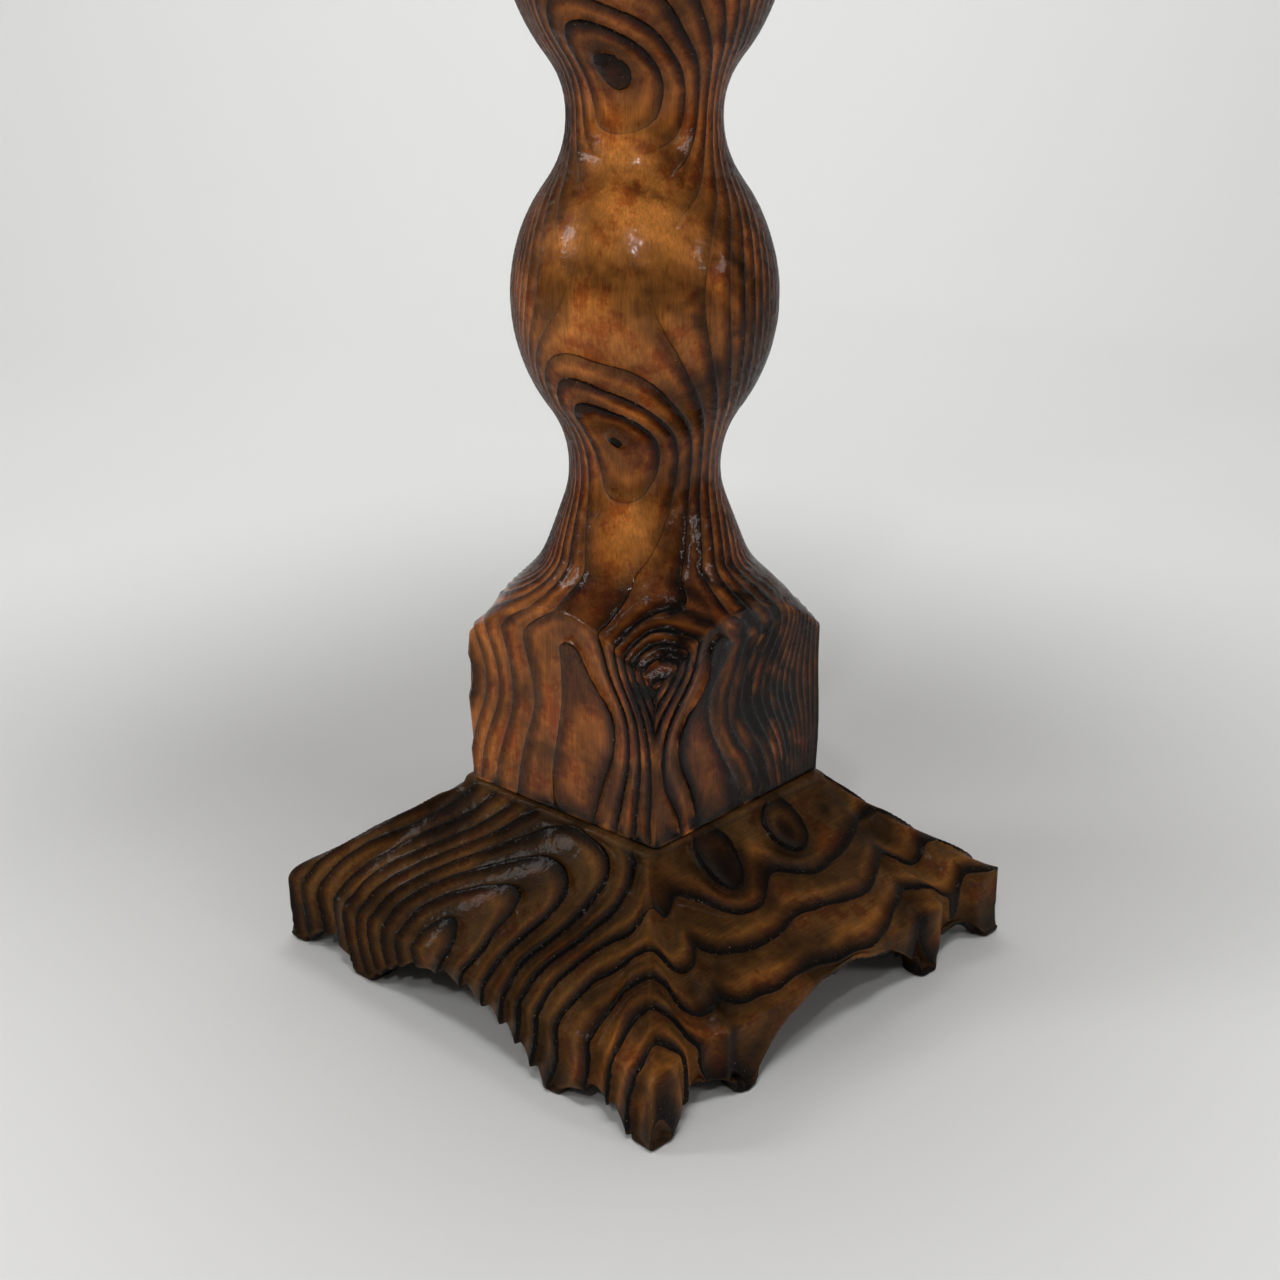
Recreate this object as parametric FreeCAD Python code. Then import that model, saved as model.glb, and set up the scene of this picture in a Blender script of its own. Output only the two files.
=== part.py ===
import FreeCAD, Part
import math
import os

# Tilt-top pedestal table in scorched and wire-brushed cedar, modelled in millimetres.
# A carved square foot carries a square post that is turned into two bulges. The top tips
# on two pins near the rear edge of a block at the head of the post, and a sliding bolt
# holds it down. The origin is on the floor under the middle of the post, with +Z up. The
# hinge is on the +Y side, and the top's boards run along X.

V = FreeCAD.Vector
UP = V(0, 0, 1)
DOWN = V(0, 0, -1)

# ---- Driving dimensions ---------------------------------------------------------------

# Foot: a thick square plate carved like a low hipped roof, with arches cut under it
FOOT_SIDE = 250.0
FOOT_WALL = 34.0            # height of the upright edge
FOOT_SLOPE_TOP = 83.0       # height at which the four slopes end
SEAT_SIDE = 126.0           # square platform that the post stands on
SEAT_STEP = 3.0
FOOT_TURN = -2.36           # degrees that the foot sits turned under the post
CHANNEL_HALF = 58.0         # half width of the two crossing arches
CHANNEL_RISE_X = 30.0       # height of the arch that runs along X
CHANNEL_RISE_Y = 24.5       # height of the arch that runs along Y
SMALL_ARCH_CENTRE = 90.0
SMALL_ARCH_HALF = 20.0
SMALL_ARCH_RISE = 9.0
FLUTE_WALL_RADIUS = 18.0    # upright gouge cut over each small arch
FLUTE_DEPTH_X = 6.0         # its depth on the two faces across X
FLUTE_DEPTH_Y = 3.0         # its depth on the two faces across Y
FLUTE_MOUTH_RADIUS = 14.0   # the gouge cut up the slope, wide at the edge
FLUTE_TIP_RADIUS = 3.0      # and narrow at the corner of the seat
FLUTE_TIP_DEPTH = 1.0

# Post: a square length left whole at both ends and turned between them
POST_SIDE = 118.0
POST_ARRIS = 3.0            # rounding of the four long edges
POST_TOP = 650.0
NECKS = ((236.5, 33.8), (385.0, 33.0), (533.5, 33.0))   # height and radius of each waist
BULGES = ((310.0, 58.0), (457.5, 58.6))                 # height and radius of each bulge
BULGE_CURVE = 80.0          # radius of a bulge's own outline
NECK_CURVE = 41.0           # radius of the outline where an end waist turns outwards
NECK_LEAVE = 21.0           # degrees from upright where it runs straight
NECK_RUN = 22.7             # length of that straight run
COVE_CURVE = 37.0           # radius of the hollow that opens it further
SHOULDER_LEAVE = 46.0       # degrees from upright of the shoulder cone
FOOT_TENON_RADIUS = 25.0
FOOT_TENON_LENGTH = 28.0
HEAD_TENON_RADIUS = 27.0
WEDGE_OFFSET = 11.0         # two wedges spread the head tenon
WEDGE_DEPTH = 22.0
WEDGE_THICK = 4.0
WEDGE_TIP = 1.2

# Bolt that draws the foot up against the post
FOOT_BOLT_RADIUS = 5.0
FOOT_BOLT_LENGTH = 120.0
FOOT_BOLT_HEX = 17.0        # across flats
FOOT_BOLT_HEAD = 7.0
FOOT_WASHER_RADIUS = 16.0
FOOT_WASHER_THICK = 2.5
SPOT_FACE_DEPTH = 2.0       # washer seat above the crown of the higher arch

# Tilt block, the square board at the head of the post
BLOCK_SIDE = 150.0
BLOCK_THICK = 30.0
BLOCK_BEVEL = 8.0
PIVOT_INSET = 14.0          # from the block's top and rear faces to the pin's axis
PIN_RADIUS = 5.0
PIN_DEPTH = 40.0            # in the block
PIN_HEAD_RADIUS = 9.0
PIN_HEAD_THICK = 3.5
PIVOT_WASHER_RADIUS = 11.0
PIVOT_WASHER_THICK = 1.2

# Top: three boards edge to edge, on two bearers
TOP_SIDE = 455.0
TOP_THICK = 25.0
TOP_CORNER = 12.0
TOP_EDGE = 3.0              # rounding of the upper edge
TOP_UNDERCUT = 10.0         # bevel under the rim, up the edge and in from it
TOP_BOARDS = 3
DOWEL_RADIUS = 4.0
DOWEL_LENGTH = 40.0
DOWEL_PLACES = (-150.0, 0.0, 150.0)
BEARER_WIDTH = 30.0
BEARER_HEIGHT = 38.0
BEARER_LENGTH = 380.0
BEARER_SNIPE = 22.0         # lower corners cut off at each end
BEARER_SCREW_PLACES = (-150.0, 0.0, 150.0)
BEARER_SCREW_LENGTH = 45.0
BEARER_SCREW_SINK = 6.0
BEARER_SCREW_RADIUS = 2.3
BEARER_SCREW_HEAD = 4.7

# Catch: a brass bolt that slides under the top and enters a keeper in the block
CATCH_PLATE_LENGTH = 56.0
CATCH_PLATE_WIDTH = 32.0
CATCH_PLATE_THICK = 2.0
CATCH_PLATE_FRONT = 8.0     # from the block's front face to the plate
CATCH_BOLT_RADIUS = 4.0
CATCH_BOLT_DROP = 6.0       # from the plate to the bolt's axis
CATCH_BOLT_LENGTH = 58.0
CATCH_BOLT_BACK = 2.0       # from the block to the tip when it is drawn back
CATCH_STROKE = 12.0
CATCH_GUIDE_LENGTH = 8.0
CATCH_GUIDE_WIDTH = 18.0
CATCH_GUIDE_WALL = 3.0      # below the bolt
KNOB_STEM_RADIUS = 2.5
KNOB_STEM_LENGTH = 9.0      # below the bolt
KNOB_RADIUS = 7.0
KEEPER_WIDTH = 38.0
KEEPER_HEIGHT = 20.0
KEEPER_THICK = 2.0
KEEPER_HOLE_CLEARANCE = 0.5
KEEPER_SCREW_SPACING = 26.0
SMALL_SCREW_LENGTH = 14.0
SMALL_SCREW_RADIUS = 1.6
SMALL_SCREW_HEAD = 3.3

# Clearances
GLUE_GAP = 0.05             # a round glued or screwed fit, on the radius
RUNNING_GAP = 0.05          # a pin or bolt that turns or slides, on the radius
REST_GAP = 0.3              # between surfaces that part when the top tips
STOP_GAP = 0.3              # between the knob's stem and a guide at each end
REACH = 4.0                 # how far a cutting shape runs past what it cuts

# ---- Sizes and places that follow from them -------------------------------------------

foot_top = FOOT_SLOPE_TOP + SEAT_STEP
block_top = POST_TOP + BLOCK_THICK
under_top = block_top + REST_GAP
table_height = under_top + TOP_THICK
pivot_y = BLOCK_SIDE / 2 - PIVOT_INSET
pivot_z = block_top - PIVOT_INSET
washer_gap = PIVOT_WASHER_THICK + REST_GAP
bearer_inner = BLOCK_SIDE / 2 + washer_gap
board_width = TOP_SIDE / TOP_BOARDS
front_face = -BLOCK_SIDE / 2
catch_z = under_top - CATCH_PLATE_THICK - CATCH_BOLT_DROP
bolt_tip = front_face - CATCH_BOLT_BACK
washer_top = max(CHANNEL_RISE_X, CHANNEL_RISE_Y) + SPOT_FACE_DEPTH
plate_rear = front_face - CATCH_PLATE_FRONT
plate_front = plate_rear - CATCH_PLATE_LENGTH


# ---- Shape helpers --------------------------------------------------------------------

def block(low, high):
    """Box between two corners."""
    return Part.makeBox(high[0] - low[0], high[1] - low[1], high[2] - low[2], V(*low))


def rod(radius, start, direction, length):
    return Part.makeCylinder(radius, length, start, direction)


def spun(points, place, direction):
    """Solid turned from (radius, distance) points, laid from place along direction."""
    outline = [V(radius, 0, along) for radius, along in points]
    face = Part.Face(Part.makePolygon(outline + outline[:1]))
    solid = face.revolve(V(0, 0, 0), UP, 360)
    solid.Placement = FreeCAD.Placement(place, FreeCAD.Rotation(UP, direction))
    return solid


def edges_along(shape, axis, keep):
    """Straight edges parallel to an axis whose middle passes the keep test."""
    chosen = []
    for edge in shape.Edges:
        ends = [vertex.Point for vertex in edge.Vertexes]
        if len(ends) == 2:
            run = ends[1] - ends[0]
            if abs(abs(run.dot(axis)) - run.Length) < 1e-6 and keep((ends[0] + ends[1]) * 0.5):
                chosen.append(edge)
    return chosen


def slotted_screw(place, direction, length, radius, head_radius):
    """Countersunk screw with a sawn slot, its head flush at place."""
    neck = head_radius - radius
    points = [(0, 0), (head_radius, 0), (radius, neck), (radius, length - 2 * radius), (0, length)]
    screw = spun(points, place, direction)
    slot = block((-head_radius - 1, -0.4, -1), (head_radius + 1, 0.4, 0.7))
    slot.Placement = FreeCAD.Placement(place, FreeCAD.Rotation(UP, direction))
    return screw.cut(slot)


def screw_hole(place, direction, length, radius, head_radius, sink):
    """Hole for such a screw, open for the sink depth above its head."""
    wide = head_radius + GLUE_GAP
    narrow = radius + GLUE_GAP
    neck = wide - narrow
    points = [(0, -sink), (wide, -sink), (wide, 0), (narrow, neck), (narrow, length + 0.5), (0, length + 0.5)]
    return spun(points, place, direction)


def save(name, solids):
    shape = solids[0] if len(solids) == 1 else Part.makeCompound(solids)
    for solid in solids:
        if not solid.isValid() or solid.Volume <= 0:
            raise ValueError(name + " has a solid that isn't sound")
    shape.exportStep("parts/" + name + ".step")
    print(name, len(solids), round(sum(solid.Volume for solid in solids), 1))


# ---- Foot -----------------------------------------------------------------------------

def square_at(side, height):
    half = side / 2
    corners = [V(-half, -half, height), V(half, -half, height), V(half, half, height), V(-half, half, height)]
    return Part.makePolygon(corners + corners[:1])


def arch_cutter(centre, half, rise, along):
    """Long cylinder whose crown stands rise above the floor and whose chord is 2 x half."""
    radius = (half ** 2 + rise ** 2) / (2 * rise)
    length = FOOT_SIDE + 2 * REACH
    across = V(-along.y, along.x, 0)
    start = across * centre - along * (length / 2) + UP * (rise - radius)
    return rod(radius, start, along, length)


def flute_cutters(depth):
    """Upright gouge cut on the +X wall and the tapering one above it, on one half."""
    half = FOOT_SIDE / 2
    run = half - SEAT_SIDE / 2
    rise = FOOT_SLOPE_TOP - FOOT_WALL
    normal = V(rise, 0, run).normalize()
    upright = rod(FLUTE_WALL_RADIUS, V(half + FLUTE_WALL_RADIUS - depth, SMALL_ARCH_CENTRE, -1), UP,
                  FOOT_WALL + rise / 2)

    def at(share):
        radius = FLUTE_MOUTH_RADIUS + (FLUTE_TIP_RADIUS - FLUTE_MOUTH_RADIUS) * share
        sunk = depth + (FLUTE_TIP_DEPTH - depth) * share
        sideways = SMALL_ARCH_CENTRE + (SEAT_SIDE / 2 - FLUTE_TIP_RADIUS - SMALL_ARCH_CENTRE) * share
        surface = V(half - run * share, sideways, FOOT_WALL + rise * share)
        return surface + normal * (radius - sunk), radius

    low, low_radius = at(-0.25)
    high, high_radius = at(1.0)
    sloping = Part.makeCone(low_radius, high_radius, (high - low).Length, low, high - low)
    return [upright, sloping]


def turned(shape, degrees):
    copy = shape.copy()
    copy.rotate(V(0, 0, 0), UP, degrees)
    return copy


def make_foot():
    half = FOOT_SIDE / 2
    seat = SEAT_SIDE / 2
    slab = block((-half, -half, 0), (half, half, FOOT_WALL))
    roof = Part.makeLoft([square_at(FOOT_SIDE, FOOT_WALL), square_at(SEAT_SIDE, FOOT_SLOPE_TOP)], True, True)
    platform = block((-seat, -seat, FOOT_SLOPE_TOP), (seat, seat, foot_top))
    foot = slab.fuse([roof, platform]).removeSplitter()
    cutters = [arch_cutter(0, CHANNEL_HALF, CHANNEL_RISE_X, V(1, 0, 0)),
               arch_cutter(0, CHANNEL_HALF, CHANNEL_RISE_Y, V(0, 1, 0))]
    for along in (V(1, 0, 0), V(0, 1, 0)):
        for side in (-1, 1):
            cutters.append(arch_cutter(side * SMALL_ARCH_CENTRE, SMALL_ARCH_HALF, SMALL_ARCH_RISE, along))
    for quarter, depth in enumerate((FLUTE_DEPTH_X, FLUTE_DEPTH_Y, FLUTE_DEPTH_X, FLUTE_DEPTH_Y)):
        for cutter in flute_cutters(depth):
            mirrored = cutter.mirror(V(0, 0, 0), V(0, 1, 0))
            cutters += [turned(cutter, 90 * quarter), turned(mirrored, 90 * quarter)]
    mortise_floor = foot_top - FOOT_TENON_LENGTH - 1
    cutters.append(rod(FOOT_TENON_RADIUS + GLUE_GAP, V(0, 0, mortise_floor), UP, FOOT_TENON_LENGTH + REACH))
    cutters.append(rod(FOOT_BOLT_RADIUS + 0.5, V(0, 0, 0), UP, foot_top))
    cutters.append(rod(FOOT_WASHER_RADIUS + 1, V(0, 0, 0), UP, washer_top))
    return turned(foot.cut(cutters), FOOT_TURN)


def make_foot_bolt():
    """Hexagon-headed coach screw, driven up through the foot into the post."""
    seat = washer_top - FOOT_WASHER_THICK
    reach = FOOT_BOLT_HEX / math.sqrt(3)
    corners = [V(reach * math.cos(math.radians(60 * k)), reach * math.sin(math.radians(60 * k)),
                 seat - FOOT_BOLT_HEAD) for k in range(7)]
    head = Part.Face(Part.makePolygon(corners)).extrude(UP * FOOT_BOLT_HEAD)
    shank = FOOT_BOLT_RADIUS
    points = [(0, -1), (shank, -1), (shank, FOOT_BOLT_LENGTH - 2 * shank), (0, FOOT_BOLT_LENGTH)]
    return head.fuse(spun(points, V(0, 0, seat), UP)).removeSplitter()


def make_foot_washer():
    low = washer_top - FOOT_WASHER_THICK
    disc = rod(FOOT_WASHER_RADIUS, V(0, 0, low), UP, FOOT_WASHER_THICK)
    return disc.cut(rod(FOOT_BOLT_RADIUS + 0.5, V(0, 0, low - 1), UP, FOOT_WASHER_THICK + 2))


# ---- Post -----------------------------------------------------------------------------

def on_circle(centre, radius, degrees):
    turn = math.radians(degrees)
    return V(centre.x + radius * math.cos(turn), 0, centre.z + radius * math.sin(turn))


def arc(centre, radius, start, end):
    points = [on_circle(centre, radius, angle) for angle in (start, (start + end) / 2, end)]
    return Part.Arc(*points).toShape()


def swell(neck, bulge):
    """Two arcs that meet smoothly, from a waist to the widest place of a bulge."""
    (neck_z, neck_r), (bulge_z, bulge_r) = neck, bulge
    inset = neck_r - bulge_r + BULGE_CURVE
    rise = abs(bulge_z - neck_z)
    curve = (rise ** 2 + inset ** 2 - BULGE_CURVE ** 2) / (2 * (bulge_r - neck_r))
    outer = V(neck_r + curve, 0, neck_z)
    inner = V(bulge_r - BULGE_CURVE, 0, bulge_z)
    lean = math.degrees(math.atan2(outer.z - inner.z, outer.x - inner.x))
    back = 180 + lean
    if lean > 0:
        return [arc(outer, curve, 180, back), arc(inner, BULGE_CURVE, lean, 0)]
    return [arc(outer, curve, back, 180), arc(inner, BULGE_CURVE, 0, lean)]


def shoulder(neck, side, reach):
    """Outline from an end waist out past the square's corners: side is -1 down, 1 up."""
    neck_z, neck_r = neck
    centre = V(neck_r + NECK_CURVE, 0, neck_z)
    first = math.radians(NECK_LEAVE)
    second = math.radians(SHOULDER_LEAVE)
    leave = 180 - side * NECK_LEAVE
    start = on_circle(centre, NECK_CURVE, leave)
    hollow = start + V(math.sin(first), 0, side * math.cos(first)) * NECK_RUN
    cove_centre = hollow + V(math.cos(first), 0, -side * math.sin(first)) * COVE_CURVE
    open_angle = 180 - side * SHOULDER_LEAVE
    cone = on_circle(cove_centre, COVE_CURVE, open_angle)
    length = (reach - cone.x) / math.sin(second)
    end = cone + V(math.sin(second), 0, side * math.cos(second)) * length
    edges = [arc(centre, NECK_CURVE, 180, leave), Part.makeLine(start, hollow),
             arc(cove_centre, COVE_CURVE, leave, open_angle), Part.makeLine(cone, end)]
    return edges, end


def turned_post():
    """Everything that the lathe leaves, wide enough at both ends to clear the square."""
    reach = POST_SIDE * math.sqrt(0.5) + REACH
    edges, low_end = shoulder(NECKS[0], -1, reach)
    top_edges, high_end = shoulder(NECKS[-1], 1, reach)
    edges += top_edges
    for index, bulge in enumerate(BULGES):
        edges += swell(NECKS[index], bulge)
        edges += swell(NECKS[index + 1], bulge)
    corners = [low_end, V(reach, 0, foot_top), V(0, 0, foot_top), V(0, 0, POST_TOP), V(reach, 0, POST_TOP), high_end]
    edges += [Part.makeLine(one, two) for one, two in zip(corners, corners[1:])]
    wire = Part.Wire(Part.__sortEdges__(edges))
    return Part.Face(wire).revolve(V(0, 0, 0), UP, 360)


def wedge_shape(side):
    """One tapered wedge across the head tenon, cut to the tenon's round."""
    middle = side * WEDGE_OFFSET
    top = POST_TOP + BLOCK_THICK
    low = top - WEDGE_DEPTH
    length = HEAD_TENON_RADIUS + REACH
    corners = [V(middle - WEDGE_TIP / 2, -length, low), V(middle + WEDGE_TIP / 2, -length, low),
               V(middle + WEDGE_THICK / 2, -length, top), V(middle - WEDGE_THICK / 2, -length, top)]
    bar = Part.Face(Part.makePolygon(corners + corners[:1])).extrude(V(0, 2 * length, 0))
    return bar.common(rod(HEAD_TENON_RADIUS, V(0, 0, low), UP, WEDGE_DEPTH))


def make_post(wedges):
    half = POST_SIDE / 2
    square = block((-half, -half, foot_top), (half, half, POST_TOP))
    square = square.makeFillet(POST_ARRIS, edges_along(square, UP, lambda middle: True))
    post = square.common(turned_post())
    foot_tenon = rod(FOOT_TENON_RADIUS, V(0, 0, foot_top - FOOT_TENON_LENGTH), UP, FOOT_TENON_LENGTH + 1)
    head_tenon = rod(HEAD_TENON_RADIUS, V(0, 0, POST_TOP - 1), UP, BLOCK_THICK + 1)
    post = post.fuse([foot_tenon, head_tenon]).removeSplitter()
    bolt_hole = rod(FOOT_BOLT_RADIUS + GLUE_GAP, V(0, 0, 0), UP, washer_top + FOOT_BOLT_LENGTH)
    return post.cut([bolt_hole] + wedges)


# ---- Tilt block, pins and keeper ------------------------------------------------------

def make_tilt_block():
    half = BLOCK_SIDE / 2
    board = block((-half, -half, POST_TOP), (half, half, block_top))
    rear_top = edges_along(board, V(1, 0, 0), lambda middle: middle.y > 0 and middle.z > POST_TOP + 1)
    board = board.makeFillet(PIVOT_INSET, rear_top)
    lower = edges_along(board, V(1, 0, 0), lambda middle: middle.z < POST_TOP + 1)
    lower += edges_along(board, V(0, 1, 0), lambda middle: middle.z < POST_TOP + 1)
    board = board.makeChamfer(BLOCK_BEVEL, lower)
    cutters = [rod(HEAD_TENON_RADIUS + GLUE_GAP, V(0, 0, POST_TOP - REACH), UP, BLOCK_THICK + 2 * REACH)]
    for side in (-1, 1):
        start = V(side * (half + REACH), pivot_y, pivot_z)
        cutters.append(rod(PIN_RADIUS + RUNNING_GAP, start, V(-side, 0, 0), PIN_DEPTH + 1 + REACH))
    cutters.append(keeper_space())
    bolt_pocket = rod(keeper_hole_radius(), V(0, front_face - 1, catch_z), V(0, 1, 0), CATCH_STROKE + 5)
    cutters.append(bolt_pocket)
    for place in keeper_screw_places():
        cutters.append(screw_hole(place, V(0, 1, 0), SMALL_SCREW_LENGTH, SMALL_SCREW_RADIUS, SMALL_SCREW_HEAD, 1))
    return board.cut(cutters)


def make_pin(side):
    """Headed brass pin through a bearer and its washer into the tilt block."""
    outer = bearer_inner + BEARER_WIDTH
    length = outer - (BLOCK_SIDE / 2 - PIN_DEPTH)
    crown = PIN_HEAD_RADIUS - 2
    points = [(0, -PIN_HEAD_THICK), (crown, -PIN_HEAD_THICK), (PIN_HEAD_RADIUS, -PIN_HEAD_THICK + 1.5),
              (PIN_HEAD_RADIUS, 0), (PIN_RADIUS, 0), (PIN_RADIUS, length - 1), (PIN_RADIUS - 1, length), (0, length)]
    return spun(points, V(side * outer, pivot_y, pivot_z), V(-side, 0, 0))


def make_pivot_washer(side):
    start = V(side * bearer_inner, pivot_y, pivot_z)
    disc = rod(PIVOT_WASHER_RADIUS, start, V(-side, 0, 0), PIVOT_WASHER_THICK)
    return disc.cut(rod(PIN_RADIUS + RUNNING_GAP, start + V(side, 0, 0), V(-side, 0, 0), PIVOT_WASHER_THICK + 2))


def keeper_hole_radius():
    return CATCH_BOLT_RADIUS + KEEPER_HOLE_CLEARANCE


def keeper_space():
    low = (-KEEPER_WIDTH / 2, front_face, catch_z - KEEPER_HEIGHT / 2 - 2)
    high = (KEEPER_WIDTH / 2, front_face + KEEPER_THICK, catch_z + KEEPER_HEIGHT / 2 - 2)
    return block(low, high)


def keeper_screw_places():
    half = KEEPER_SCREW_SPACING / 2
    return [V(side * half, front_face, catch_z - 2) for side in (-1, 1)]


def make_keeper():
    hole = rod(keeper_hole_radius(), V(0, front_face - 1, catch_z), V(0, 1, 0), KEEPER_THICK + 2)
    holes = [screw_hole(place, V(0, 1, 0), SMALL_SCREW_LENGTH, SMALL_SCREW_RADIUS, SMALL_SCREW_HEAD, 1)
             for place in keeper_screw_places()]
    return keeper_space().cut([hole] + holes)


# ---- Top ------------------------------------------------------------------------------

def whole_top():
    """The top before it is split into boards: round corners, soft rim, bevel beneath."""
    half = TOP_SIDE / 2
    low, high = under_top, table_height
    slab = block((-half, -half, low), (half, half, high))
    slab = slab.makeFillet(TOP_CORNER, edges_along(slab, UP, lambda middle: True))
    upper = [edge for edge in slab.Edges if edge.BoundBox.ZMin > high - 0.01]
    slab = slab.makeFillet(TOP_EDGE, upper)
    under = [edge for edge in slab.Edges if edge.BoundBox.ZMax < low + 0.01]
    return slab.makeChamfer(TOP_UNDERCUT, under)


def dowel_joints():
    """Height of the dowels and the lines between the boards."""
    middle = under_top + TOP_THICK / 2
    lines = [-TOP_SIDE / 2 + board_width * step for step in range(1, TOP_BOARDS)]
    return [V(place, line, middle) for line in lines for place in DOWEL_PLACES]


def make_boards():
    slab = whole_top()
    holes = [rod(DOWEL_RADIUS + GLUE_GAP, centre - V(0, DOWEL_LENGTH / 2 + 0.5, 0), V(0, 1, 0), DOWEL_LENGTH + 1)
             for centre in dowel_joints()]
    screws = [screw_hole(place, UP, BEARER_SCREW_LENGTH, BEARER_SCREW_RADIUS, BEARER_SCREW_HEAD, 1)
              for place in bearer_screw_places()]
    small = [screw_hole(place, UP, SMALL_SCREW_LENGTH, SMALL_SCREW_RADIUS, SMALL_SCREW_HEAD, 1)
             for place in catch_screw_places()]
    slab = slab.cut(holes + screws + small)
    boards = []
    half = TOP_SIDE / 2
    for step in range(TOP_BOARDS):
        near = -half + board_width * step
        strip = block((-half, near, under_top), (half, near + board_width, table_height))
        boards.append(slab.common(strip))
    return boards


def make_dowels():
    dowels = []
    for centre in dowel_joints():
        start = centre - V(0, DOWEL_LENGTH / 2, 0)
        points = [(0, 0), (DOWEL_RADIUS - 1, 0), (DOWEL_RADIUS, 1), (DOWEL_RADIUS, DOWEL_LENGTH - 1),
                  (DOWEL_RADIUS - 1, DOWEL_LENGTH), (0, DOWEL_LENGTH)]
        dowels.append(spun(points, start, V(0, 1, 0)))
    return dowels


def bearer_screw_places():
    middle = bearer_inner + BEARER_WIDTH / 2
    height = under_top - BEARER_HEIGHT + BEARER_SCREW_SINK
    return [V(side * middle, place, height) for side in (-1, 1) for place in BEARER_SCREW_PLACES]


def make_bearer(side):
    half = BEARER_LENGTH / 2
    low = under_top - BEARER_HEIGHT
    snipe = BEARER_SNIPE
    corners = [V(0, -half, under_top), V(0, half, under_top), V(0, half, low + snipe), V(0, half - snipe, low),
               V(0, snipe - half, low), V(0, -half, low + snipe)]
    inner = bearer_inner if side > 0 else -bearer_inner - BEARER_WIDTH
    bar = Part.Face(Part.makePolygon(corners + corners[:1])).extrude(V(BEARER_WIDTH, 0, 0))
    bar.translate(V(inner, 0, 0))
    long_lower = edges_along(bar, V(0, 1, 0), lambda middle: middle.z < low + 1)
    bar = bar.makeFillet(3.0, long_lower)
    cutters = [screw_hole(place, UP, BEARER_SCREW_LENGTH, BEARER_SCREW_RADIUS, BEARER_SCREW_HEAD,
                          BEARER_SCREW_SINK + 1) for place in bearer_screw_places() if place.x * side > 0]
    start = V(inner - 1, pivot_y, pivot_z)
    cutters.append(rod(PIN_RADIUS + GLUE_GAP, start, V(1, 0, 0), BEARER_WIDTH + 2))
    return bar.cut(cutters)


# ---- Catch ----------------------------------------------------------------------------

def catch_screw_places():
    inset = 5.0
    rows = (plate_front + inset, plate_rear - inset)
    columns = (-CATCH_PLATE_WIDTH / 2 + inset, CATCH_PLATE_WIDTH / 2 - inset)
    height = under_top - CATCH_PLATE_THICK
    return [V(column, row, height) for column in columns for row in rows]


def knob_y():
    """The knob's place when the bolt is drawn back, centred in what the guides allow."""
    return (plate_front + plate_rear) / 2 - CATCH_STROKE / 2


def guide_starts():
    """Front end of each guide: they stop the knob's stem at both ends of its travel."""
    room = KNOB_STEM_RADIUS + STOP_GAP
    return (knob_y() - room - CATCH_GUIDE_LENGTH, knob_y() + CATCH_STROKE + room)


def make_catch_plate():
    half = CATCH_PLATE_WIDTH / 2
    plate = block((-half, plate_front, under_top - CATCH_PLATE_THICK), (half, plate_rear, under_top))
    plate = plate.makeFillet(5.0, edges_along(plate, UP, lambda middle: True))
    holes = [screw_hole(place, UP, SMALL_SCREW_LENGTH, SMALL_SCREW_RADIUS, SMALL_SCREW_HEAD, 1)
             for place in catch_screw_places()]
    return plate.cut(holes)


def make_guides():
    half = CATCH_GUIDE_WIDTH / 2
    top = under_top - CATCH_PLATE_THICK
    low = catch_z - CATCH_BOLT_RADIUS - CATCH_GUIDE_WALL
    guides = []
    for start in guide_starts():
        guide = block((-half, start, low), (half, start + CATCH_GUIDE_LENGTH, top))
        guide = guide.makeFillet(4.0, edges_along(guide, V(0, 1, 0), lambda middle: middle.z < low + 1))
        guides.append(guide.cut(rod(CATCH_BOLT_RADIUS + RUNNING_GAP, V(0, start - 1, catch_z), V(0, 1, 0),
                                    CATCH_GUIDE_LENGTH + 2)))
    return guides


def make_catch_bolt():
    radius = CATCH_BOLT_RADIUS
    length = CATCH_BOLT_LENGTH
    points = [(0, 0), (radius - 2.5, 0), (radius, 4), (radius, length - 1), (radius - 1, length), (0, length)]
    bolt = spun(points, V(0, bolt_tip, catch_z), V(0, -1, 0))
    return bolt.cut(rod(KNOB_STEM_RADIUS + GLUE_GAP, V(0, knob_y(), catch_z), DOWN, radius + 1))


def make_knob():
    stem = rod(KNOB_STEM_RADIUS, V(0, knob_y(), catch_z - 0.1), DOWN, CATCH_BOLT_RADIUS + KNOB_STEM_LENGTH)
    ball_z = catch_z - CATCH_BOLT_RADIUS - KNOB_STEM_LENGTH - KNOB_RADIUS / 2
    ball = Part.makeSphere(KNOB_RADIUS, V(0, knob_y(), ball_z))
    return ball.fuse(stem).removeSplitter()


# ---- Build ----------------------------------------------------------------------------

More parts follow.
